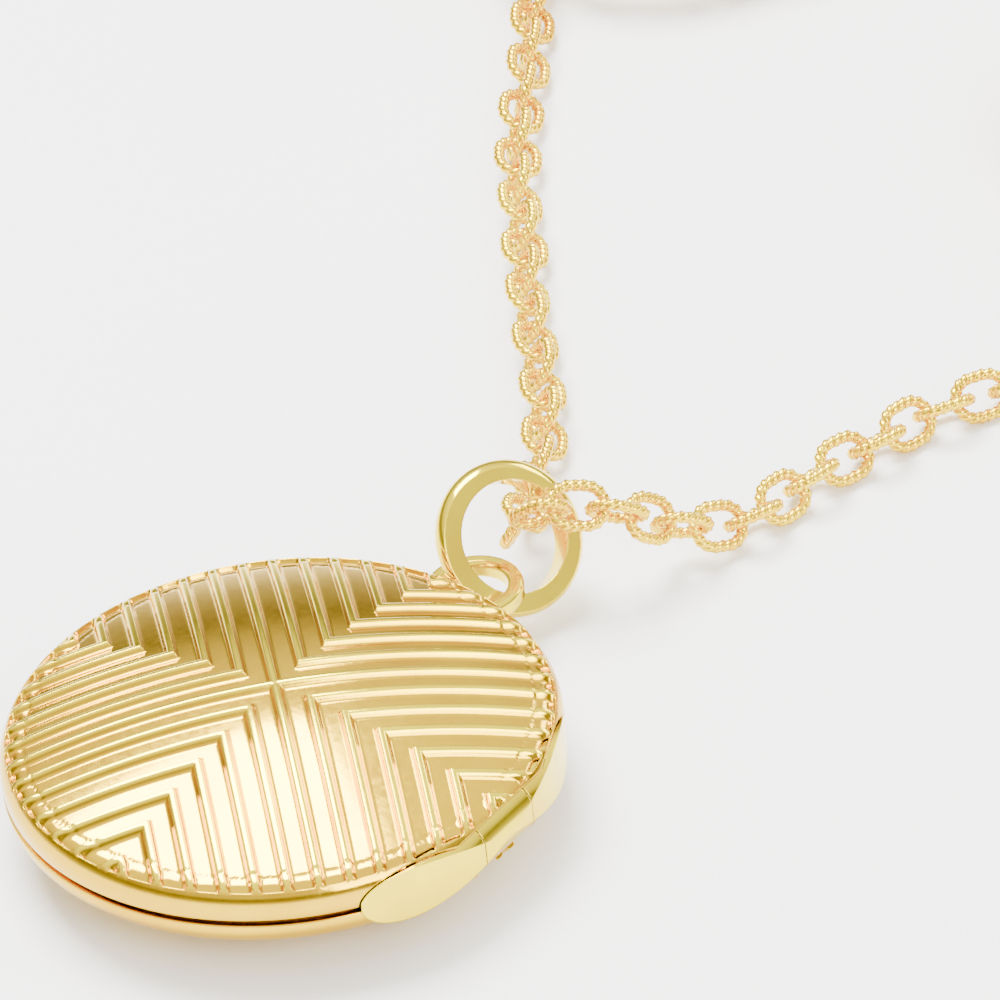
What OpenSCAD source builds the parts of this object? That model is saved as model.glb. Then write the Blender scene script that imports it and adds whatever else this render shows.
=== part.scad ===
// Round hinged locket on an oval cable chain of twisted wire.
// Millimetres. The locket lies on the crown of its back half, at the origin, with its front half up.
// +X is the hinge side (3 o'clock), +Y the bail side (12 o'clock) and +Z out of the front half.

/* [Case] */
// Outer diameter of the locket
locket_d = 25; // [18:0.5:36]
// Height of each dome above its rim band
dome_h = 3.07; // [2.4:0.01:4.2]
// Radius of the rolled edge where a dome turns down into its rim band
edge_r = 1.2; // [1:0.05:1.5]
// Thickness of the case wall, ribs included
wall = 0.6; // [0.5:0.05:0.8]
// Height of the front half's rim band
front_band = 0.48; // [0.3:0.01:0.7]
// Height of the back half's rim band
back_band = 0.2; // [0.15:0.01:0.5]
// Open seam between the two rim bands
seam = 0.27; // [0.15:0.01:0.4]

/* [Ribs] */
// Spacing of the ribs, centre to centre
rib_pitch = 1.363; // [1:0.001:1.8]
// Width of a rib at its foot
rib_w = 0.49; // [0.35:0.01:0.7]
// Depth of the pockets between the ribs
rib_depth = 0.24; // [0.15:0.01:0.28]
// Width of the plain border outside the pockets
border_w = 0.3; // [0.3:0.01:0.6]

/* [Hinge] */
// Radius of the hinge barrel
barrel_r = 1.3; // [1.1:0.05:1.4]
// Radius of the hinge pin
pin_r = 0.4; // [0.3:0.01:0.5]
// Running clearance between the pin and the front knuckle's bore, radial
pin_fit = 0.04; // [0.02:0.01:0.08]
// Length of the front half's middle knuckle
knuckle_l = 3.4; // [2.4:0.1:5]
// Gap between knuckles, and between the barrel and the half that it doesn't belong to
knuckle_gap = 0.06; // [0.04:0.01:0.1]
// How far the front half opens before its edge meets the back half's edge, degrees
open_angle = 110; // [90:1:120]

/* [Photo recesses] */
// Distance from the edge of the photo card and its window to the outside of the locket
photo_inset = 3.5; // [3.5:0.1:6]
// Thickness of the photo card
card_t = 0.2; // [0.1:0.01:0.3]
// Thickness of the clear window
window_t = 0.22; // [0.15:0.01:0.3]
// Width of the snap-in frame's rim over the window
frame_lip = 0.8; // [0.5:0.05:1.2]
// Radial play of the window and frame in the seat ring
frame_fit = 0.03; // [0.02:0.01:0.06]

/* [Closure] */
// Thickness of the locating lip's wall
lip_t = 0.4; // [0.3:0.05:0.5]
// Height of the locating lip above the back half's rim
lip_h = 0.93; // [0.6:0.01:1.1]
// Play between the locating lip and the front half's wall
lip_fit = 0.15; // [0.1:0.01:0.2]
// Width of the catch tongue
tongue_w = 2.6; // [1.8:0.1:3.6]
// Width of the fingernail notch in the front rim
notch_w = 2.4; // [1.6:0.1:3.4]

/* [Hanging ring] */
// Outer radius of the fixed eye soldered to the back half
eye_r = 2.25; // [1.9:0.05:2.6]
// Radius of the eye's hole
eye_hole_r = 1.5; // [1.4:0.05:1.6]
// Thickness of the eye
eye_t = 0.85; // [0.6:0.05:0.95]
// Inner radius of the bail ring
bail_r = 2.6; // [2.4:0.05:3.4]
// Radial thickness of the bail ring's D section
bail_t = 1; // [0.7:0.05:1.1]
// Width of the bail ring at its far side
bail_w = 1.6; // [1.1:0.05:1.9]
// Width of the bail ring where it passes through the eye
bail_w_eye = 0.8; // [0.7:0.05:1.1]

/* [Chain] */
// Width of the chain's links
chain_d = 2.2; // [1.8:0.1:2.6]
// Radius of the two stacked outer turns of each stored coil, to the middle of the chain
coil_r = 12; // [11:0.5:13]

/* [Clasp] */
// Mean radius of the spring ring clasp
clasp_r = 2.6; // [2.2:0.1:3.4]
// Radius of the clasp's tube
clasp_tube_r = 0.8; // [0.7:0.05:1]
// Radius of the sliding bolt inside the tube
bolt_r = 0.45; // [0.35:0.01:0.5]
// Wire radius of the small connecting rings
wire_r = 0.25; // [0.2:0.01:0.3]
// Outer radius of the flat end tag that the clasp hooks
tag_r = 2.2; // [2:0.1:2.8]
// Radius of the end tag's large hole
tag_hole_r = 1.5; // [1.2:0.05:1.6]
// Thickness of the end tag
tag_t = 0.5; // [0.4:0.05:0.55]

/* [Hidden] */
$fn = 96;
big = 60;

gold = [0.93, 0.76, 0.36];
dark_gold = [0.80, 0.62, 0.26];

// Case heights
rim_r = locket_d / 2;
case_h = 2 * dome_h + front_band + back_band + seam;
back_rim_z = dome_h + back_band;
front_rim_z = back_rim_z + seam;
knee_r = rim_r - edge_r;
// Sphere that meets the rolled edge's arc at a tangent and gives the dome its height
crown_r = (knee_r * knee_r + dome_h * dome_h - edge_r * edge_r) / (2 * (dome_h - edge_r));
photo_r = rim_r - photo_inset;
pad_r = photo_r + 0.8;
inside_r = rim_r - wall;

// Hinge axis, with the barrel flush with the round outline
hinge_x = rim_r - barrel_r;
hinge_z = (back_rim_z + front_rim_z) / 2;
barrel_end_y = sqrt(rim_r * rim_r - (hinge_x - barrel_r) * (hinge_x - barrel_r)) - 0.05;
pin_end_y = sqrt((rim_r - 0.15) * (rim_r - 0.15) - (hinge_x + pin_r) * (hinge_x + pin_r));
lip_end_x = hinge_x - barrel_r - 0.7;
// Half of the opening angle, and a degree to spare
relief_angle = open_angle / 2 + 1;

// Photo recess heights, measured from the crown of either half
pad_z = back_rim_z - 1.32;
card_z = pad_z + 0.35;
window_z = card_z + card_t;
frame_z = window_z + window_t;
frame_top_z = back_rim_z - 0.02;

// Closure
lip_r = inside_r - lip_fit;
lip_in_r = lip_r - lip_t;
tongue_x = -(lip_in_r - 0.55);
tongue_t = 0.25;
bump_r = 0.17;
bump_z = back_rim_z - 0.4;
keeper_play = 0.02;

// Eye and bail
eye_y = rim_r + eye_hole_r + 0.35;
eye_z = back_rim_z - 0.16 - eye_t / 2;
bail_lean = 49.5;
bail_lift = 20.6;
bail_bar_r = bail_r + bail_t / 2;
bail_centre = [0, eye_y - 0.1 + bail_bar_r * cos(bail_lift), eye_z + bail_bar_r * sin(bail_lift)];

// Chain routes, from the bail out to the coils, for a locket 25 mm across; they move with its edge
chain_y = rim_r - 12.5;
left_route = [[-0.7, 18.5, 3.3], [-1.3, 19.7, 2.7], [-2, 21, 2.2], [-2.9, 22.5, 1.6],
    [-4, 24.4, 1.2], [-5.3, 26.8, 1.1], [-7, 29.2, 1.1], [-9.1, 31.7, 1.1], [-11.1, 34, 1.1],
    [-13, 36.2, 1.1], [-14.7, 38.4, 1.1], [-16.6, 40.8, 1.1], [-18.4, 43, 1.1],
    [-20.1, 45.3, 1.1], [-21.9, 48, 1.1], [-23.4, 50.6, 1.1], [-25.2, 53.4, 1.1],
    [-26.7, 55.7, 1.1], [-28, 57.4, 1.1], [-29.6, 58.7, 1.1]];
right_route = [[0.3, 17.9, 4.3], [1.7, 18.3, 5.3], [2.9, 19.5, 5.1], [3.8, 20.8, 4.2],
    [4.5, 22.3, 3.1], [5.2, 23.8, 2], [5.9, 25.2, 1.4], [6.5, 26.8, 1.15], [6.9, 29, 1.1],
    [7.2, 31, 1.1], [7.8, 33, 1.1], [8.4, 35, 1.1], [8.9, 37, 1.1], [9.8, 38.6, 1.1],
    [10.9, 40.4, 1.1], [12.2, 43, 1.1], [13.2, 45.8, 1.1], [14.3, 48.7, 1.1],
    [15.5, 51.6, 1.1], [16.8, 54.5, 1.1]];
left_coil_at = [-29.6, 71];
right_coil_at = [10, 65.5];
coil_in_r = coil_r - 1.55 * chain_d;
coil_out_r = coil_r + 0.5 * chain_d;

// Clasp and end tag, lying inside the coils
ring_mean_r = 1.2;
ring_z = ring_mean_r + wire_r;
loop_r = 0.95;
loop_z = clasp_tube_r;
link_x = 2 * loop_r + 0.1;

// ---- Case ----

// Half profile of a dome and its rim band, crown at the origin, shrunk inwards by inset.
// The rolled edge stands 2 micrometres proud of the crown where they meet.
module dome_profile(inset, band) {
    slope = knee_r / (crown_r - dome_h);
    intersection() {
        translate([0, crown_r]) circle(crown_r - inset - 0.002, $fn = 256);
        polygon([[0, -1], [0, dome_h], [knee_r, dome_h], [knee_r + 3 * slope, dome_h - 3]]);
    }
    intersection() {
        translate([knee_r, dome_h]) circle(edge_r - inset);
        translate([knee_r - edge_r, dome_h - edge_r]) square([2 * edge_r, edge_r]);
    }
    translate([0, dome_h]) square([rim_r - inset, band]);
}

module dome_solid(inset, band) {
    rotate_extrude($fn = 180) dome_profile(inset, band);
}

// Everything that follows on a front piece is drawn as for the back half, then turned over
module turned_over() {
    translate([0, 0, case_h]) mirror([0, 0, 1]) children();
}

// L-shaped pockets between the ribs, nested with their corners towards the centre
module pocket_pattern() {
    count = floor((rim_r / sqrt(2)) / rib_pitch);
    for (quarter = [0 : 3], k = [0 : count]) {
        near = k * rib_pitch + rib_w / 2;
        far = (k + 1) * rib_pitch - rib_w / 2;
        if (near * sqrt(2) < rim_r - border_w - 0.15)
            rotate(45 + 90 * quarter) polygon([[near, near], [rim_r, near], [rim_r, far],
                [far, far], [far, rim_r], [near, rim_r]]);
    }
}

module pockets(band) {
    difference() {
        intersection() {
            translate([0, 0, -1]) linear_extrude(dome_h + band + 2) pocket_pattern();
            translate([0, 0, -1]) cylinder(r = rim_r - border_w, h = dome_h + 1 - border_w);
        }
        dome_solid(rib_depth, band + 3);
    }
}

// A half case, with a flat pad ring inside that the photo seat is soldered to
module half_case(band) {
    difference() {
        dome_solid(0, band);
        difference() {
            dome_solid(wall, band + 1);
            rotate_extrude() translate([photo_r - 0.75, 0]) square([pad_r - photo_r + 0.75, pad_z]);
        }
        pockets(band);
    }
}

// Room for the hinge barrel, wide enough at the middle or end knuckles to let them turn
module barrel_room(own_gap, end_gap) {
    translate([hinge_x, 0, hinge_z]) rotate([90, 0, 0]) {
        cylinder(r = barrel_r + own_gap, h = knuckle_l + 2 * knuckle_gap, center = true);
        for (side = [-1, 1])
            translate([0, 0, side * (big / 2 + knuckle_l / 2 + knuckle_gap - 0.01)])
                cylinder(r = barrel_r + end_gap, h = big, center = true);
    }
}

// Wedge outside the hinge axis that would foul the other half when the locket opens
module opening_relief(up) {
    translate([hinge_x, big / 2, hinge_z]) rotate([90, 0, 0]) linear_extrude(big)
        polygon([[0, -up * 0.01], [4 * cos(relief_angle), up * 4 * sin(relief_angle)],
            [5, 0], [5, -up * 4], [0, -up * 4]]);
}

module back_shell() {
    color(gold) difference() {
        half_case(back_band);
        barrel_room(knuckle_gap, 0);
        opening_relief(-1);
    }
}

module front_shell() {
    color(gold) difference() {
        turned_over() half_case(front_band);
        barrel_room(0, knuckle_gap);
        opening_relief(1);
        nail_notch();
    }
}

// Fingernail notch, cut part way through the front rim at 9 o'clock
module nail_notch() {
    notch_depth = 0.33;
    notch_r = (notch_w * notch_w / 4 + notch_depth * notch_depth) / (2 * notch_depth);
    translate([-rim_r - 1, 0, front_rim_z + notch_depth - notch_r]) rotate([0, 90, 0])
        cylinder(r = notch_r, h = 1 + wall / 2);
}

// ---- Hinge ----

// A length of barrel, flush with the round outline of the case, with a bore for the pin
module barrel(y_from, y_to, bore_r) {
    difference() {
        intersection() {
            translate([hinge_x, y_to, hinge_z]) rotate([90, 0, 0])
                cylinder(r = barrel_r, h = y_to - y_from);
            cylinder(r = rim_r, h = case_h);
        }
        translate([hinge_x, pin_end_y, hinge_z]) rotate([90, 0, 0])
            cylinder(r = bore_r, h = 2 * pin_end_y);
    }
}

module hinge_knuckle_front() {
    color(gold) barrel(-knuckle_l / 2, knuckle_l / 2, pin_r + pin_fit);
}

module end_knuckle() {
    barrel(knuckle_l / 2 + knuckle_gap, barrel_end_y, pin_r);
}

module hinge_knuckle_upper() {
    color(gold) end_knuckle();
}

module hinge_knuckle_lower() {
    color(gold) mirror([0, 1, 0]) end_knuckle();
}

// Pin through all three knuckles, its ends closed in by the outer two
module hinge_pin() {
    color(dark_gold) translate([hinge_x, 0, hinge_z]) rotate([90, 0, 0])
        cylinder(r = pin_r, h = 2 * pin_end_y, center = true);
}

// ---- Closure ----

// C-shaped lip soldered inside the back half, which the front half closes over
module back_locating_lip() {
    color(dark_gold) difference() {
        rotate_extrude() {
            translate([lip_in_r, back_rim_z - 0.5]) square([lip_t, lip_h + 0.5]);
            translate([lip_in_r, back_rim_z - back_band]) square([inside_r - lip_in_r, back_band]);
        }
        translate([lip_end_x, -big / 2, 0]) cube([big, big, big]);
        keeper_bar();
    }
}

module keeper_bar() {
    keeper_x = tongue_x - tongue_t - bump_r - keeper_play;
    translate([-lip_in_r - 0.6 * lip_t, -tongue_w / 2, bump_z + bump_r + keeper_play])
        cube([keeper_x + lip_in_r + 0.6 * lip_t, tongue_w, 0.35]);
}

// Keeper bar let into the lip at 9 o'clock, which the tongue's bump snaps under
module catch_keeper() {
    color(dark_gold) keeper_bar();
}

// Springy tongue soldered inside the front half, with a rounded bump near its tip
module catch_tongue() {
    color(gold) union() {
        intersection() {
            translate([tongue_x - tongue_t, -tongue_w / 2, bump_z - 0.35])
                cube([tongue_t, tongue_w, case_h]);
            turned_over() dome_solid(wall, front_band + seam + back_band + 1);
        }
        translate([tongue_x - tongue_t, 0, bump_z]) rotate([90, 0, 0])
            cylinder(r = bump_r, h = tongue_w, center = true, $fn = 48);
    }
}

// ---- Photo recesses ----

module seat_ring() {
    ledge_r = photo_r - 0.6;
    rotate_extrude() polygon([[ledge_r, pad_z], [pad_r, pad_z], [pad_r, frame_top_z - 0.12],
        [photo_r + frame_fit, frame_top_z - 0.12], [photo_r + frame_fit, card_z], [ledge_r, card_z]]);
}

module photo_card() {
    translate([0, 0, card_z]) cylinder(r = photo_r, h = card_t);
}

module photo_window() {
    translate([0, 0, window_z]) cylinder(r = photo_r, h = window_t);
}

// Snap-in frame: a sleeve that holds the window down, with a flange over the seat ring
module photo_frame() {
    inner_r = photo_r - frame_lip;
    flange_r = pad_r - 0.1;
    flange_z = frame_top_z - 0.12;
    rotate_extrude() polygon([[inner_r, frame_z], [photo_r, frame_z], [photo_r, flange_z],
        [flange_r, flange_z], [flange_r, frame_top_z], [inner_r, frame_top_z]]);
}

module back_seat_ring() { color(dark_gold) seat_ring(); }
module back_photo_card() { color("white") photo_card(); }
module back_photo_window() { color([0.9, 0.95, 1, 0.4]) photo_window(); }
module back_photo_frame() { color(gold) photo_frame(); }
module front_seat_ring() { color(dark_gold) turned_over() seat_ring(); }
module front_photo_card() { color("white") turned_over() photo_card(); }
module front_photo_window() { color([0.9, 0.95, 1, 0.4]) turned_over() photo_window(); }
module front_photo_frame() { color(gold) turned_over() photo_frame(); }

// ---- Hanging ring ----

// Flat ring with softened edges, soldered to the back half's wall at 12 o'clock
module fixed_eye() {
    soft = 0.22;
    color(gold) difference() {
        translate([0, eye_y, eye_z]) rotate_extrude() {
            translate([eye_hole_r + soft, -eye_t / 2]) square([eye_r - eye_hole_r - 2 * soft, eye_t]);
            translate([eye_hole_r, soft - eye_t / 2]) square([eye_r - eye_hole_r, eye_t - 2 * soft]);
            for (x = [eye_hole_r + soft, eye_r - soft], z = [soft - eye_t / 2, eye_t / 2 - soft])
                translate([x, z]) circle(soft, $fn = 32);
        }
        dome_solid(0, back_band);
    }
}

// D-section ring, flat inside and domed outside, that narrows towards the eye
module bail_ring() {
    round_r = (bail_w * bail_w / 4 + bail_t * bail_t) / (2 * bail_t);
    reach = bail_r + bail_t;
    color(gold) translate(bail_centre) rotate([bail_lift, 0, 0]) rotate([0, bail_lean, 0])
        intersection() {
            rotate_extrude($fn = 128) intersection() {
                translate([reach - round_r, 0]) circle(round_r, $fn = 64);
                translate([bail_r, -2]) square([2, 4]);
            }
            rotate([0, -90, 0]) translate([0, 0, -big / 2]) linear_extrude(big)
                polygon([[-bail_w / 2, reach], [-bail_w_eye / 2, -reach],
                    [bail_w_eye / 2, -reach], [bail_w / 2, reach]]);
        }
}

// ---- Chain ----

function unit(v) = v / norm(v);
function tangent(pts, i) = unit(pts[min(i + 1, len(pts) - 1)] - pts[max(i - 1, 0)]);

// Tube of diameter d through a list of points; the ends face along the route
module tube(pts, d, sides) {
    rings = [for (i = [0 : len(pts) - 1])
        let (t = tangent(pts, i), u = unit(cross(t, [0.01, 0.02, 1])), w = cross(u, t))
        for (k = [0 : sides - 1])
            pts[i] + (d / 2) * (cos(360 * k / sides) * u + sin(360 * k / sides) * w)];
    last = (len(pts) - 1) * sides;
    walls = [for (i = [0 : len(pts) - 2], k = [0 : sides - 1])
        let (a = i * sides + k, b = i * sides + (k + 1) % sides)
        [a, b, b + sides, a + sides]];
    polyhedron(rings, concat(walls, [[for (k = [sides - 1 : -1 : 0]) k]],
        [[for (k = [0 : sides - 1]) last + k]]));
}

// Two layers of chain, the upper one a single turn
module coil(at) {
    translate([at[0], at[1] + chain_y, 0]) rotate_extrude()
        translate([coil_in_r, 0]) square([coil_out_r - coil_in_r, 2 * chain_d]);
}

module chain_left() { color(gold) translate([0, chain_y, 0]) tube(left_route, chain_d, 8); }
module chain_right() { color(gold) translate([0, chain_y, 0]) tube(right_route, chain_d, 8); }
module chain_left_coil() { color(gold) coil(left_coil_at); }
module chain_right_coil() { color(gold) coil(right_coil_at); }

// ---- Clasp and end tag ----

module ring(mean_r, r) {
    rotate_extrude() translate([mean_r, 0]) circle(r, $fn = 32);
}

// Places a fitting inside a coil, with its own +X pointing from the chain's end to the coil's middle
module inside_coil(at, bearing) {
    translate([at[0], at[1] + chain_y, 0]) rotate(bearing) translate([-coil_in_r + 1.5, 0, 0]) children();
}

module jump_ring() {
    translate([0, 0, ring_z]) rotate([90, 0, 0]) ring(ring_mean_r, wire_r);
}

// Arc of round bar or bore on the clasp's ring
module clasp_arc(r, from, sweep) {
    rotate(from) rotate_extrude(angle = sweep) translate([clasp_r, 0]) circle(r, $fn = 32);
}

module at_clasp() {
    translate([link_x + clasp_r + clasp_tube_r - wire_r, 0, loop_z]) children();
}

left_bearing = 292;
right_bearing = 325;
gap_from = -60;
gap_sweep = 55;
bolt_sweep = 107;
bolt_travel = 50;
spring_from = gap_from + bolt_sweep + bolt_travel;
spring_sweep = 50;
bore_sweep = bolt_sweep + bolt_travel + spring_sweep + 7;

module clasp_body() {
    color(gold) inside_coil(left_coil_at, left_bearing) union() {
        difference() {
            at_clasp() clasp_arc(clasp_tube_r, gap_from + gap_sweep, 360 - gap_sweep);
            at_clasp() clasp_arc(bolt_r + 0.05, gap_from - 4, bore_sweep);
            at_clasp() rotate(10) rotate_extrude(angle = bolt_travel + 22)
                translate([clasp_r + 0.2, -0.33]) square([2, 0.66]);
        }
        translate([loop_r + 0.1, 0, loop_z]) ring(loop_r, wire_r);
    }
}

module clasp_bolt() {
    color(gold) inside_coil(left_coil_at, left_bearing) at_clasp() union() {
        clasp_arc(bolt_r, gap_from - 2, bolt_sweep);
        rotate(20) translate([clasp_r, 0, 0]) rotate([0, 90, 0]) cylinder(r = 0.28, h = 1.5, $fn = 32);
    }
}

// Bent coil spring behind the bolt, drawn as short as the drawn-back bolt leaves it
module clasp_spring() {
    turns = 6;
    steps = 12 * turns;
    spring_r = bolt_r - 0.14;
    bar = 0.09;
    centres = [for (i = [0 : steps])
        let (a = spring_from + spring_sweep * i / steps, b = 360 * turns * i / steps,
            rad = clasp_r + spring_r * cos(b))
        [rad * cos(a), rad * sin(a), spring_r * sin(b)]];
    color("silver") inside_coil(left_coil_at, left_bearing) at_clasp() tube(centres, 2 * bar, 6);
}

module clasp_jump_ring() {
    color(gold) inside_coil(left_coil_at, left_bearing) jump_ring();
}

module end_jump_ring() {
    color(gold) inside_coil(right_coil_at, right_bearing) jump_ring();
}

// Flat two-holed tag at the other end of the chain, whose large hole the clasp hooks
module end_tag() {
    eye_x = 1.05;
    hole_x = eye_x + 0.7 + 0.4 + tag_hole_r;
    color(gold) inside_coil(right_coil_at, right_bearing) translate([0, 0, 0.62]) difference() {
        union() {
            translate([hole_x, 0, 0]) cylinder(r = tag_r, h = tag_t);
            translate([eye_x, 0, 0]) cylinder(r = 1.45, h = tag_t);
        }
        translate([hole_x, 0, -1]) cylinder(r = tag_hole_r, h = 3);
        translate([eye_x, 0, -1]) cylinder(r = 0.7, h = 3);
    }
}

back_shell();
back_locating_lip();
hinge_knuckle_upper();
hinge_knuckle_lower();
hinge_pin();
catch_keeper();
fixed_eye();
back_seat_ring();
back_photo_card();
back_photo_window();
back_photo_frame();
front_shell();
hinge_knuckle_front();
catch_tongue();
front_seat_ring();
front_photo_card();
front_photo_window();
front_photo_frame();
bail_ring();
chain_left();
chain_left_coil();
chain_right();
chain_right_coil();
clasp_body();
clasp_bolt();
clasp_spring();
clasp_jump_ring();
end_tag();
end_jump_ring();
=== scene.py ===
import math
import random
import bmesh
import bpy
import numpy as np
from mathutils import Matrix, Vector


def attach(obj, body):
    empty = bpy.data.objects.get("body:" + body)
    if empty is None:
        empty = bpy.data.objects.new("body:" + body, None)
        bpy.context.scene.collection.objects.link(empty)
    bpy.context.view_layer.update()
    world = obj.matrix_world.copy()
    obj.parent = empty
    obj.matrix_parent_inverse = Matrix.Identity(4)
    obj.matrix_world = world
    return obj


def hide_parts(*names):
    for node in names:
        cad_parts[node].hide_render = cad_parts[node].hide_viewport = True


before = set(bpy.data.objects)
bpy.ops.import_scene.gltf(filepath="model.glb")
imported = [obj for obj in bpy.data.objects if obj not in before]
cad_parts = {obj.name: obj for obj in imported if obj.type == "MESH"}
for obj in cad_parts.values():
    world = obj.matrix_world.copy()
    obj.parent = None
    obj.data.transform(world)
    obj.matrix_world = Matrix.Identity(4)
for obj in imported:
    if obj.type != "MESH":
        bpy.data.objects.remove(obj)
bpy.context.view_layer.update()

random.seed(7)
MM = 0.001


# ---- Camera ----
# A long lens that looks down on the closed locket from its lower right,
# with the two runs of chain leading away to the top and to the right.
cam = bpy.data.objects.new("camera", bpy.data.cameras.new("camera"))
bpy.context.collection.objects.link(cam)
right = (0.80711, 0.58334, -0.09109)
up = (-0.28387, 0.51870, 0.80645)
back = (0.51768, -0.62504, 0.58424)
lens_at = (0.258210, -0.294941, 0.297547)
cam.matrix_world = Matrix([(right[i], up[i], back[i], lens_at[i]) for i in range(3)] + [(0, 0, 0, 1)])
cam.data.sensor_width = 36
cam.data.lens = 400.25
cam.data.clip_start = 0.05
cam.data.clip_end = 5
bpy.context.scene.camera = cam


# ---- Back half of the case ----
# A shallow gold dome, struck outside with four quarters of nested L-shaped pockets and then polished.
# A plain border and a rim band close it, a pad inside carries the photo's seat, and it is cut away
# for the middle knuckle of the hinge and for the swing of the cover.
RIM = 12.5  # outer radius of the case, mm
EDGE = 1.2  # radius of the rounded edge between dome and rim
KNEE = 11.3  # radius at which the rounded edge starts
DOME = 3.07  # height of a dome, crown to rim band
CROWN = 36.277  # radius of the sphere that the dome is part of
CASE_H = 7.09  # thickness of the closed case
WALL = 0.6
BACK_BAND = 0.2  # height of the back half's rim band
PITCH = 1.363  # from rib to rib
RIB_HALF = 0.1  # half the width of a rib's flat top
RIB_SIDE = 0.22  # width of a rib's rounded side
RIB_DEEP = 0.27
POCKET_END = 12.18  # radius where the pockets stop at the border
POCKET_FADE = 0.16  # width over which a pocket rises to the border
ROUND = 720  # points round each ring of the turned part
PAD_IN, PAD_OUT, PAD_TOP, PAD_FOOT = 8.25, 9.72, 1.95, 1.573
HINGE_X, HINGE_Z = 11.2, 3.405  # axis of the hinge, along Y
BARREL = 1.3  # radius of the hinge barrel
BARREL_GAP = 0.06
MIDDLE = 1.7  # half the length of the middle knuckle
OVERRUN = 0.23  # how far a half's own knuckle seat runs past the knuckle's end
PAST_RIM = 14.1
GOLD_LIGHT, GOLD_DEEP = "f6de20", "e8c81a"
GROOVE_SHADE_DEPTH = 0.24  # depth over which the painted shade in a groove builds up, mm


def srgb(code):
    parts = [int(code[i:i + 2], 16) / 255 for i in (0, 2, 4)]
    return [c / 12.92 if c <= 0.04045 else ((c + 0.055) / 1.055) ** 2.4 for c in parts] + [1.0]


def add(mat, kind, **values):
    """Adds a node; values named after an attribute set it, and the rest go to input sockets."""
    n = mat.node_tree.nodes.new("ShaderNode" + kind)
    for key, v in values.items():
        if hasattr(n, key):
            setattr(n, key, v)
        else:
            numbered = key[0] == "i" and key[1:].isdigit()
            s = n.inputs[int(key[1:]) if numbered else key.replace("_", " ")]
            if isinstance(v, bpy.types.NodeSocket):
                mat.node_tree.links.new(v, s)
            else:
                s.default_value = v
    return n


def ramp(mat, fac, *stops):
    n = add(mat, "ValToRGB", Fac=fac)
    while len(n.color_ramp.elements) < len(stops):
        n.color_ramp.elements.new(0.5)
    for e, (at, code) in zip(n.color_ramp.elements, stops):
        e.position = at
        e.color = srgb(code)
    return n.outputs["Color"]


def new_material(name):
    mat = bpy.data.materials.new(name)
    mat.use_nodes = True
    mat.node_tree.nodes.clear()
    return mat


def finish_material(mat, shader):
    out = add(mat, "OutputMaterial")
    mat.node_tree.links.new(shader.outputs[0], out.inputs["Surface"])
    return mat


# Polished yellow gold: mirror-like, with a colour that drifts in clouds 4 mm across, a polish that is
# worn unevenly every 0.4 mm and faint buffing hairlines. Deep in a groove the colour is darkened to brown
# as painted shade. The last argument gives a sphere's centre and the radii of the pocket floor and of the rib
# top, in metres.
def gold_material(name, light, deep, rough_lo, rough_hi, groove_shade=None):
    mat = new_material(name)
    where = add(mat, "NewGeometry").outputs["Position"]
    drift = add(mat, "TexNoise", Vector=where, Scale=0.26 / MM, Detail=3.0, Roughness=0.55).outputs["Fac"]
    colour = ramp(mat, drift, (0.3, light), (0.7, deep))
    if groove_shade:
        centre, low, high = groove_shade
        # painted shade: the deeper a point lies towards the pocket floor, the browner and darker its colour
        away = add(mat, "VectorMath", operation="DISTANCE", i0=where, i1=centre).outputs["Value"]
        depth = add(mat, "MapRange", Value=away, From_Min=low, From_Max=high).outputs["Result"]
        painted_groove_shade = ramp(mat, depth, (0.0, "e8cc98"), (0.15, "ccaa74"), (0.6, "f0deb0"), (0.9, "ffffff"))
        colour = add(mat, "MixRGB", blend_type="MULTIPLY", Fac=0.8, Color1=colour, Color2=painted_groove_shade).outputs[0]
    polish = add(mat, "TexNoise", Vector=where, Scale=2.6 / MM, Detail=4.0, Roughness=0.6).outputs["Fac"]
    wear = add(mat, "MapRange", Value=polish, From_Min=0.3, From_Max=0.7, To_Min=rough_lo, To_Max=rough_hi)
    buffed = add(mat, "Mapping", Vector=where, Scale=(0.9 / MM, 9 / MM, 3 / MM), Rotation=(0.2, 0.1, 0.7))
    hair = add(mat, "TexNoise", Vector=buffed.outputs["Vector"], Scale=1.0, Detail=2.0).outputs["Fac"]
    soft = add(mat, "Bevel", samples=6, Radius=0.09 * MM).outputs["Normal"]
    bump = add(mat, "Bump", Height=hair, Strength=0.05, Distance=0.03 * MM, Normal=soft).outputs["Normal"]
    shader = add(mat, "BsdfPrincipled", Base_Color=colour, Metallic=1.0, Roughness=wear.outputs["Result"],
                 Normal=bump)
    return finish_material(mat, shader)


def new_object(name, verts, faces, material=None):
    mesh = bpy.data.meshes.new(name)
    mesh.from_pydata(verts, [], faces)
    if material:
        mesh.materials.append(material)
    obj = bpy.data.objects.new(name, mesh)
    bpy.context.collection.objects.link(obj)
    return obj


def face_outward(obj):
    bm = bmesh.new()
    bm.from_mesh(obj.data)
    bmesh.ops.recalc_face_normals(bm, faces=bm.faces)
    bm.to_mesh(obj.data)
    bm.free()


def sink(a, b, r):
    """Depth of the surface below the dome: none on a rib or on the border, full in a pocket."""
    m = min(abs(a), abs(b)) % PITCH
    u = min(m, PITCH - m)
    w = min(max((u - RIB_HALF) / RIB_SIDE, 0), 1)
    e = min(max((POCKET_END - r) / POCKET_FADE, 0), 1)
    return RIB_DEEP * w * w * (3 - 2 * w) * e * e * (3 - 2 * e)


def dome_z(r, deep):
    if r <= KNEE:
        return CROWN - math.sqrt((CROWN - deep) ** 2 - r * r)
    return DOME - math.sqrt(max((EDGE - deep) ** 2 - (r - KNEE) ** 2, 0))


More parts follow.
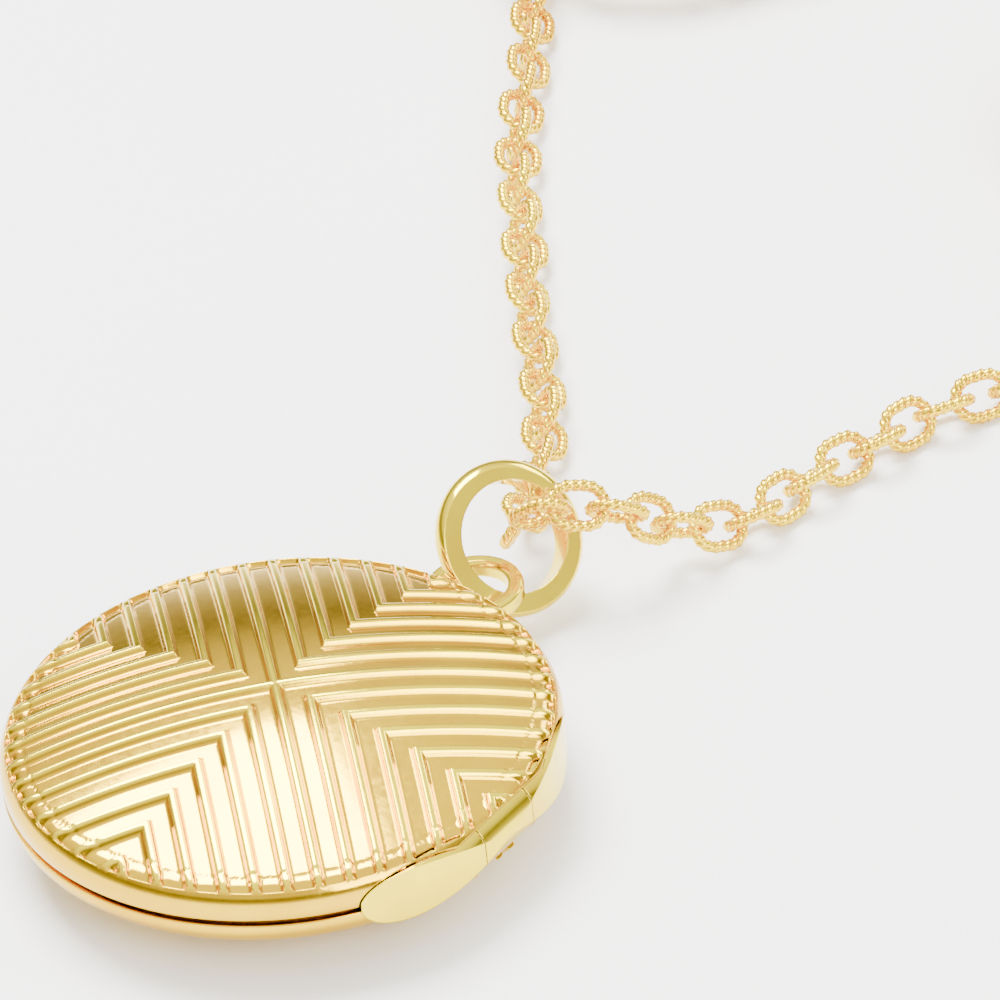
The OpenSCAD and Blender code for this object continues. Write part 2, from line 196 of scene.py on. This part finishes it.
def rib_lines():
    """Where the grid's lines run, measured across the ribs: close together on a rib's rounded sides."""
    lines = {0.0}
    for k in range(10):
        for u in (0, 0.1, 0.155, 0.21, 0.265, 0.32, 0.44, 0.56):
            lines |= {k * PITCH + u, (k + 1) * PITCH - u}
        lines.add((k + 0.5) * PITCH)
    lines = sorted(v for v in lines if v < 12.2)
    return [-v for v in lines[:0:-1]] + lines


TURNED = math.sqrt(0.5)  # the ribs lie at 45 degrees to the hinge axis


def ribbed_field():
    """Grid along the ribs, out to just short of the border. Each cell is split the way its ribs are mitred."""
    lines = rib_lines()
    verts, index = [], {}
    for i, a in enumerate(lines):
        for j, b in enumerate(lines):
            r = math.hypot(a, b)
            if r < POCKET_END - 0.2:
                index[i, j] = len(verts)
                verts.append(((a - b) * TURNED, (a + b) * TURNED, dome_z(r, sink(a, b, r))))
    faces = []
    for i in range(len(lines) - 1):
        for j in range(len(lines) - 1):
            q = [index.get(c) for c in ((i, j), (i + 1, j), (i + 1, j + 1), (i, j + 1))]
            if None in q:
                continue
            if (lines[i] + lines[i + 1]) * (lines[j] + lines[j + 1]) > 0:
                faces += [(q[0], q[2], q[1]), (q[0], q[3], q[2])]
            else:
                faces += [(q[0], q[3], q[1]), (q[1], q[3], q[2])]
    return verts, faces


def half_profile(band):
    """Section of the turned part, over the rim and back inside. A height of None follows the ribbed dome."""
    top = DOME + band
    bore = RIM - WALL
    inside = EDGE - WALL

    def under_dome(r):
        return r, CROWN - math.sqrt((CROWN - WALL) ** 2 - r * r)

    profile = [(POCKET_END - rise, None) for rise in (POCKET_FADE, 0.11, 0.06, 0)]
    profile += [(KNEE + EDGE * math.cos(math.radians(g)), DOME - EDGE * math.sin(math.radians(g)))
                for g in (35, 26, 18, 10, 4, 0)]
    profile += [(RIM, top - 0.05), (RIM - 0.015, top - 0.015), (RIM - 0.05, top)]
    profile += [(bore + 0.03, top), (bore, top - 0.03), (bore, DOME)]
    profile += [(KNEE + inside * math.cos(math.radians(g)), DOME - inside * math.sin(math.radians(g)))
                for g in (20, 40, 60)]
    profile += [under_dome(r) for r in (KNEE, 10.5)]
    profile += [(PAD_OUT, PAD_TOP), (PAD_IN, PAD_TOP), (PAD_IN, PAD_FOOT)]
    return profile + [under_dome(r) for r in (6.5, 4.5, 2.5, 1.0)]


def stitch(verts, field, first):
    """Triangles from the ragged edge of the ribbed field to the ring that starts at first."""
    sides = dict.fromkeys(side for f in field for side in zip(f, f[1:] + f[:1]))
    after = {p: q for p, q in sides if (q, p) not in sides}
    loop = [min(after)]
    while after[loop[-1]] != loop[0]:
        loop.append(after[loop[-1]])
    angle = [math.atan2(verts[v][1], verts[v][0]) for v in loop]
    if sum(math.remainder(b - a, 2 * math.pi) for a, b in zip(angle, angle[1:] + angle[:1])) < 0:
        loop = loop[::-1]
        angle = angle[::-1]
    n = len(loop)
    at = round(angle[0] / (2 * math.pi) * ROUND)
    here = angle[0]
    i, k = 0, 0
    faces = []
    while i < n or k < ROUND:
        step = math.remainder(angle[(i + 1) % n] - angle[i % n], 2 * math.pi)
        ring_next = 2 * math.pi * (at + k + 1) / ROUND
        u, v = loop[i % n], first + (at + k) % ROUND
        if k >= ROUND or (i < n and here + step <= ring_next):
            faces.append((u, loop[(i + 1) % n], v))
            here += step
            i += 1
        else:
            faces.append((u, first + (at + k + 1) % ROUND, v))
            k += 1
    return faces


def half_case(name, band, material, turned_over=False):
    """Closed mesh of one half in millimetres, with its crown at the origin unless turned over."""
    verts, field = ribbed_field()
    first = len(verts)
    profile = half_profile(band)
    for r, z in profile:
        for k in range(ROUND):
            f = 2 * math.pi * k / ROUND
            x, y = r * math.cos(f), r * math.sin(f)
            a, b = (x + y) * TURNED, (y - x) * TURNED
            verts.append((x, y, dome_z(r, sink(a, b, r)) if z is None else z))
    verts.append((0, 0, WALL))
    faces = list(field)
    for row in range(len(profile) - 1):
        for k in range(ROUND):
            a, b = first + row * ROUND + k, first + row * ROUND + (k + 1) % ROUND
            faces.append((a, b, b + ROUND, a + ROUND))
    last = first + (len(profile) - 1) * ROUND
    faces += [(last + k, last + (k + 1) % ROUND, len(verts) - 1) for k in range(ROUND)]
    faces += stitch(verts, field, first)
    if turned_over:
        verts = [(x, y, CASE_H - z) for x, y, z in verts]
    obj = new_object(name, verts, faces, material)
    face_outward(obj)
    return obj


def prism(name, outline, y0, y1):
    """Cutter with an outline in X and Z, in millimetres, from y0 to y1."""
    k = len(outline)
    verts = [(x, y, z) for y in (y0, y1) for x, z in outline]
    faces = [tuple(range(k)), tuple(range(2 * k - 1, k - 1, -1))]
    faces += [(i, i + k, (i + 1) % k + k, (i + 1) % k) for i in range(k)]
    obj = new_object(name, verts, faces)
    face_outward(obj)
    return obj


def round_cut(name, r, y0, y1, x=HINGE_X, z=HINGE_Z):
    spread = [2 * math.pi * k / 96 for k in range(96)]
    return prism(name, [(x + r * math.cos(f), z + r * math.sin(f)) for f in spread], y0, y1)


def swing_relief(way):
    """Wedge outside the hinge axis, 56 degrees steep, that lets the halves swing past each other."""
    lean = math.radians(56)
    wedge = [(0, 0.01), (4 * math.cos(lean), 4 * math.sin(lean)), (5, 0), (5, -4), (0, -4)]
    return prism("relief", [(HINGE_X + x, HINGE_Z + way * z) for x, z in wedge], -14, 14)


def cut(obj, cutters):
    """Takes the cutters out of a half in millimetres, then brings it to metres."""
    for c in cutters:
        m = obj.modifiers.new("cut", "BOOLEAN")
        m.object = c
        m.operation = "DIFFERENCE"
        m.solver = "MANIFOLD"
    done = bpy.data.meshes.new_from_object(obj.evaluated_get(bpy.context.evaluated_depsgraph_get()))
    obj.modifiers.clear()
    done.transform(Matrix.Scale(MM, 4))
    obj.data = done
    for c in cutters:
        bpy.data.objects.remove(c)
    done.shade_smooth()
    done.set_sharp_from_angle(angle=math.radians(38))


back_gold = gold_material("polished gold, ribbed back", GOLD_LIGHT, GOLD_DEEP, 0.09, 0.17,
                          groove_shade=((0, 0, CROWN * MM), CROWN * MM - GROOVE_SHADE_DEPTH * MM, CROWN * MM))
back_half = half_case("back_case_ribbed", BACK_BAND, back_gold)
beyond = MIDDLE + BARREL_GAP
cut(back_half, [round_cut("middle", BARREL + BARREL_GAP, -beyond, beyond),
                round_cut("low", BARREL, -PAST_RIM, OVERRUN - beyond),
                round_cut("high", BARREL, beyond - OVERRUN, PAST_RIM),
                swing_relief(-1)])
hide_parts("back_shell")
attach(back_half, "back_case")


# ---- Fittings soldered to the back half ----
# The locating lip that the cover closes over, the two outer knuckles of the hinge with their pressed
# pin, the keeper of the catch, and the eye that the locket hangs by. What shows is polished like the
# case, and what the cover hides keeps the satin of the file.
plain_gold = gold_material("polished gold, plain", GOLD_LIGHT, GOLD_DEEP, 0.08, 0.15)
inner_gold = gold_material("satin gold, inside", "ecd44c", "d6b83c", 0.25, 0.36)


def put(node, material):
    slots = bpy.data.objects[node].data.materials
    slots.clear()
    slots.append(material)


for node in ("hinge_knuckle_upper", "hinge_knuckle_lower", "fixed_eye"):
    put(node, plain_gold)
for node in ("back_locating_lip", "hinge_pin", "catch_keeper"):
    put(node, inner_gold)


# ---- Front half of the case, its knuckle and its catch ----
# The same ribbed dome turned over, with a taller rim band and a small thumbnail notch opposite the
# hinge. It carries the middle knuckle and the springy tongue of the catch.
FRONT_BAND = 0.48
NAIL_R = 2.35  # radius of the cutter that makes the notch
NAIL_HALF = 0.65
NAIL_X = -12.85
NAIL_TOP = 3.54 + 0.33  # top of the notch, 0.33 mm into the front's band
front_gold = gold_material("polished gold, ribbed front", GOLD_LIGHT, GOLD_DEEP, 0.09, 0.17,
                           groove_shade=((0, 0, (CASE_H - CROWN) * MM), CROWN * MM - GROOVE_SHADE_DEPTH * MM, CROWN * MM))
front = half_case("front_case_ribbed", FRONT_BAND, front_gold, turned_over=True)
nail = round_cut("nail_notch", NAIL_R, -NAIL_HALF, NAIL_HALF, 0, 0)
nail.data.transform(Matrix.Rotation(math.radians(90), 4, "Z"))
nail.data.transform(Matrix.Translation((NAIL_X, 0, NAIL_TOP - NAIL_R)))
cut(front, [round_cut("low", BARREL + BARREL_GAP, -PAST_RIM, -beyond),
            round_cut("high", BARREL + BARREL_GAP, beyond, PAST_RIM),
            round_cut("middle", BARREL, -MIDDLE - OVERRUN, MIDDLE + OVERRUN),
            swing_relief(1), nail])
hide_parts("front_shell")
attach(front, "front_cover")
put("hinge_knuckle_front", plain_gold)
put("catch_tongue", inner_gold)


# ---- Photo holders ----
# In each half a seat ring, soldered to the pad, takes a blank card and a clear window, and a frame
# snaps in over both. Card has a matte face with short fibres that only just break up the light.
# The two windows keep the frame's own clear material.
card = new_material("matte card")
where = add(card, "NewGeometry").outputs["Position"]
fibre = add(card, "TexNoise", Vector=where, Scale=6 / MM, Detail=6.0, Roughness=0.7).outputs["Fac"]
colour = ramp(card, fibre, (0.3, "e6dfd0"), (0.7, "f4efe4"))
bump = add(card, "Bump", Height=fibre, Strength=0.2, Distance=0.02 * MM).outputs["Normal"]
finish_material(card, add(card, "BsdfPrincipled", Base_Color=colour, Roughness=0.75, Normal=bump))
for half in ("back", "front"):
    put(half + "_seat_ring", inner_gold)
    put(half + "_photo_card", card)
    put(half + "_photo_frame", plain_gold)


# ---- Bail ring ----
# A plain ring of polished gold, bent from D-section wire and closed through the eye.
# The chain runs through it.
put("bail_ring", plain_gold)


# ---- Chain ----
# Cable chain of oval links, each bent from two gold wires twisted together and soldered shut. Two
# equal runs leave the bail, lie on the table, and end in a coil of the length that is put away.
CHAIN_R = 1.1  # half the chain's thickness, mm
COIL_R = 12
LINK_PITCH = 1.93
LINK_LONG, LINK_WIDE = 1.27, 0.93  # half length and half width of a link, to the middle of its twist
FIRST_GAP, LAST_GAP = 0.2, 0.05  # path left free before the first link and after the last link's middle
SKEW = 9  # degrees that a link may lie askew
STRAND_AT, STRAND_R = 0.115, 0.19  # a wire's distance from the middle of the twist, and its radius
TWISTS = 9
LINK_STEPS, WIRE_SIDES = 60, 6
PATH_STEP = 0.1


def smooth(points, steps=12):
    """Catmull-Rom curve through the points."""
    p = [Vector(q) for q in points]
    p = [2 * p[0] - p[1]] + p + [2 * p[-1] - p[-2]]
    out = []
    for i in range(1, len(p) - 2):
        a, b, c, d = p[i - 1:i + 3]
        for k in range(steps):
            t = k / steps
            out.append(0.5 * (2 * b + (c - a) * t + (2 * a - 5 * b + 4 * c - d) * t * t
                              + (3 * b - a - 3 * c + d) * t ** 3))
    return out + [p[-2]]


def coil(start, centre, way, turned):
    """Two stacked turns from start, then one that drops inside them. turned is the whole angle."""
    settle, climb_at, climb_over, drop_at, drop_over, curl_over = 30, 285, 40, 690, 70, 27
    drop_in, curl_in = 2.3, 1.2
    first = Vector(start) - Vector((centre[0], centre[1], start[2]))
    r0, f0 = first.length, math.degrees(math.atan2(first.y, first.x))
    out = []
    for t in range(3, turned + 1, 3):
        r = COIL_R + (r0 - COIL_R) * max(0, 1 - t / settle)
        climb = min(max((t - climb_at) / climb_over, 0), 1)
        z = CHAIN_R + 2 * CHAIN_R * (0.5 - 0.5 * math.cos(math.pi * climb))
        if t > drop_at:
            drop = min((t - drop_at) / drop_over, 1) * math.pi / 2
            r = COIL_R - drop_in * math.sin(drop)
            z = CHAIN_R + 2 * CHAIN_R * math.cos(drop)
        r -= curl_in * max(0, 1 - (turned - t) / curl_over) ** 2
        f = math.radians(f0 + way * t)
        out.append(Vector((centre[0] + r * math.cos(f), centre[1] + r * math.sin(f), z)))
    return out


def along(path, step):
    """Points at equal spacing along a path, by arc length, and its length."""
    p = np.array([list(q) for q in path])
    s = np.concatenate([[0], np.cumsum(np.linalg.norm(np.diff(p, axis=0), axis=1))])
    at = np.arange(0, s[-1], step)
    return np.stack([np.interp(at, s, p[:, i]) for i in range(3)], axis=1), s[-1]


def link_centre_line(s):
    """Point on a link's centre line at arc length s, and the direction out of the link there."""
    straight = LINK_LONG - LINK_WIDE
    bend = math.pi * LINK_WIDE
    if s < 2 * straight:
        return Vector((s - straight, -LINK_WIDE, 0)), Vector((0, -1, 0))
    if s < 2 * straight + bend:
        a = (s - 2 * straight) / LINK_WIDE - math.pi / 2
        out = Vector((math.cos(a), math.sin(a), 0))
        return Vector((straight, 0, 0)) + out * LINK_WIDE, out
    if s < 4 * straight + bend:
        return Vector((straight - (s - 2 * straight - bend), LINK_WIDE, 0)), Vector((0, 1, 0))
    a = (s - 4 * straight - bend) / LINK_WIDE + math.pi / 2
    out = Vector((math.cos(a), math.sin(a), 0))
    return Vector((-straight, 0, 0)) + out * LINK_WIDE, out


def twisted_link():
    """One oval link of two wires twisted round each other: vertices and faces, in millimetres."""
    verts, faces = [], []
    total = 4 * (LINK_LONG - LINK_WIDE) + 2 * math.pi * LINK_WIDE
    for strand in (0, 1):
        base = len(verts)
        for k in range(LINK_STEPS):
            c, out = link_centre_line(total * k / LINK_STEPS)
            t = Vector((-out.y, out.x, 0))
            w = 2 * math.pi * (TWISTS * k / LINK_STEPS + strand / 2)
            spin = out * math.cos(w) + Vector((0, 0, 1)) * math.sin(w)
            turn = -out * math.sin(w) + Vector((0, 0, 1)) * math.cos(w)
            lean = (t * total / (2 * math.pi * TWISTS) + turn * STRAND_AT).normalized()
            side = lean.cross(spin)
            for j in range(WIRE_SIDES):
                b = 2 * math.pi * j / WIRE_SIDES
                verts.append(c + spin * STRAND_AT + (spin * math.cos(b) + side * math.sin(b)) * STRAND_R)
        for k in range(LINK_STEPS):
            here, there = base + k * WIRE_SIDES, base + (k + 1) % LINK_STEPS * WIRE_SIDES
            for j in range(WIRE_SIDES):
                n = (j + 1) % WIRE_SIDES
                faces.append((here + j, here + n, there + n, there + j))
    return np.array([list(v) for v in verts]), np.array(faces)


def chain(name, path, material, first_roll):
    """Links one after the other along a path, each turned a quarter from the last and a little askew."""
    points, total = along(path, PATH_STEP)
    verts, faces = twisted_link()
    count = int((total - FIRST_GAP) / LINK_PITCH)
    all_v, all_f = [], []
    for i in range(count + 1):
        s = total - LAST_GAP - (count - i) * LINK_PITCH
        k = min(max(int(s / PATH_STEP), 0), len(points) - 1)
        a, b = points[max(k - 9, 0)], points[min(k + 9, len(points) - 1)]
        t = Vector(b - a).normalized()
        side = t.cross(Vector((0, 0, 1))).normalized()
        top = side.cross(t)
        roll = math.radians(first_roll + 90 * (i % 2) + random.uniform(-SKEW, SKEW))
        if i == count:
            roll = 0
        x = side * math.cos(roll) + top * math.sin(roll)
        z = t.cross(x)
        all_v.append(verts @ np.array([list(t), list(x), list(z)]) + points[k])
        all_f.append(faces + i * len(verts))
    v = np.concatenate(all_v) * MM
    v[:, 2] = np.maximum(v[:, 2], 0.01 * MM)
    obj = new_object(name, v.tolist(), np.concatenate(all_f).tolist(), material)
    obj.data.shade_smooth()
    return obj


left_route = [(-0.7, 18.5, 3.3), (-1.3, 19.7, 2.7), (-2, 21, 2.2), (-2.9, 22.5, 1.6),
              (-4, 24.4, 1.2), (-5.3, 26.8, 1.1), (-7, 29.2, 1.1), (-9.1, 31.7, 1.1), (-11.1, 34, 1.1),
              (-13, 36.2, 1.1), (-14.7, 38.4, 1.1), (-16.6, 40.8, 1.1), (-18.4, 43, 1.1),
              (-20.1, 45.3, 1.1), (-21.9, 48, 1.1), (-23.4, 50.6, 1.1), (-25.2, 53.4, 1.1),
              (-26.7, 55.7, 1.1), (-28, 57.4, 1.1), (-29.6, 58.7, 1.1), (-31.6, 59.2, 1.1)]
right_route = [(0.3, 17.9, 4.3), (1.7, 18.3, 5.3), (2.9, 19.5, 5.1), (3.8, 20.8, 4.2),
               (4.5, 22.3, 3.1), (5.2, 23.8, 2), (5.9, 25.2, 1.4), (6.5, 26.8, 1.15), (6.9, 29, 1.1),
               (7.2, 31, 1.1), (7.8, 33, 1.1), (8.4, 35, 1.1), (8.9, 37, 1.1), (9.8, 38.6, 1.1),
               (10.9, 40.4, 1.1), (12.2, 43, 1.1), (13.2, 45.8, 1.1), (14.3, 48.7, 1.1),
               (15.5, 51.6, 1.1), (16.8, 54.5, 1.1), (18.5, 57, 1.1)]
left_path = smooth(left_route) + coil(left_route[-1], (-29.6, 71), -1, 868)
right_path = smooth(right_route) + coil(right_route[-1], (10, 65.5), 1, 910)
chain_gold = gold_material("polished gold, chain", "f8d408", "eaba06", 0.12, 0.2)
left = chain("chain_left_links", left_path, chain_gold, 62)
right_chain = chain("chain_right_links", right_path, chain_gold, 45)
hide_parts("chain_left", "chain_left_coil")
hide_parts("chain_right", "chain_right_coil")
for obj, path, pieces in ((left, left_path, ["clasp_jump_ring", "clasp_body", "clasp_bolt", "clasp_spring"]),
                          (right_chain, right_path, ["end_jump_ring", "end_tag"])):
    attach(obj, "back_case")


# ---- Spring ring clasp and end tag ----
# The clasp is a bent gold tube that holds a sliding bolt, pushed shut by a coil of drawn steel wire.
# Jump rings join the clasp and the flat tag that it hooks to the two ends of the chain.
for node in ("clasp_body", "clasp_bolt", "clasp_jump_ring", "end_tag", "end_jump_ring"):
    put(node, plain_gold)
# Drawn steel: grey, with a fine grain from the die that makes its shine a little uneven
steel = new_material("drawn spring steel")
where = add(steel, "NewGeometry").outputs["Position"]
grain = add(steel, "TexNoise", Vector=where, Scale=9 / MM, Detail=3.0).outputs["Fac"]
colour = ramp(steel, grain, (0.3, "8d8f92"), (0.7, "b5b7ba"))
rough = add(steel, "MapRange", Value=grain, To_Min=0.2, To_Max=0.35).outputs["Result"]
finish_material(steel, add(steel, "BsdfPrincipled", Base_Color=colour, Metallic=1.0, Roughness=rough))
put("clasp_spring", steel)


# ---- Floor and studio light ----
# A pale matte sheet under the locket, a white sky with a darker band low down so that the gold has
# something to mirror, and three soft boxes aimed at the locket.
FLOOR_HALF = 1.5
sheet = new_material("pale floor")
where = add(sheet, "NewGeometry").outputs["Position"]
mottle = add(sheet, "TexNoise", Vector=where, Scale=0.025 / MM, Detail=4.0).outputs["Fac"]
colour = ramp(sheet, mottle, (0.3, "fafafa"), (0.7, "ffffff"))
finish_material(sheet, add(sheet, "BsdfPrincipled", Base_Color=colour, Roughness=0.6))
corners = [(-1, -1), (1, -1), (1, 1), (-1, 1)]
floor = new_object("floor", [(x * FLOOR_HALF, y * FLOOR_HALF, 0) for x, y in corners], [(0, 1, 2, 3)], sheet)

world = bpy.data.worlds.new("studio")
bpy.context.scene.world = world
world.use_nodes = True
way_up = add(world, "SeparateXYZ", Vector=add(world, "TexCoord").outputs["Generated"]).outputs["Z"]
sky = ramp(world, way_up, (0.0, "fffcf0"), (0.12, "aaa68e"), (0.3, "6c6a5c"), (0.48, "d8d6cc"),
           (0.75, "ffffff"))
background = world.node_tree.nodes["Background"]
background.inputs["Strength"].default_value = 2.3
world.node_tree.links.new(sky, background.inputs["Color"])


def soft_box(name, at, power, width, height):
    light = bpy.data.lights.new(name, "AREA")
    light.shape = "RECTANGLE"
    light.size = width
    light.size_y = height
    light.energy = power
    obj = bpy.data.objects.new(name, light)
    obj.location = at
    obj.rotation_euler = (-Vector(at)).to_track_quat("-Z", "Y").to_euler()
    bpy.context.collection.objects.link(obj)


soft_box("key", (-0.25, 0.15, 0.55), 13, 0.35, 0.35)
soft_box("fill", (0.5, -0.2, 0.35), 4, 0.3, 0.3)
soft_box("rim", (0.1, 0.6, 0.3), 2, 0.4, 0.15)
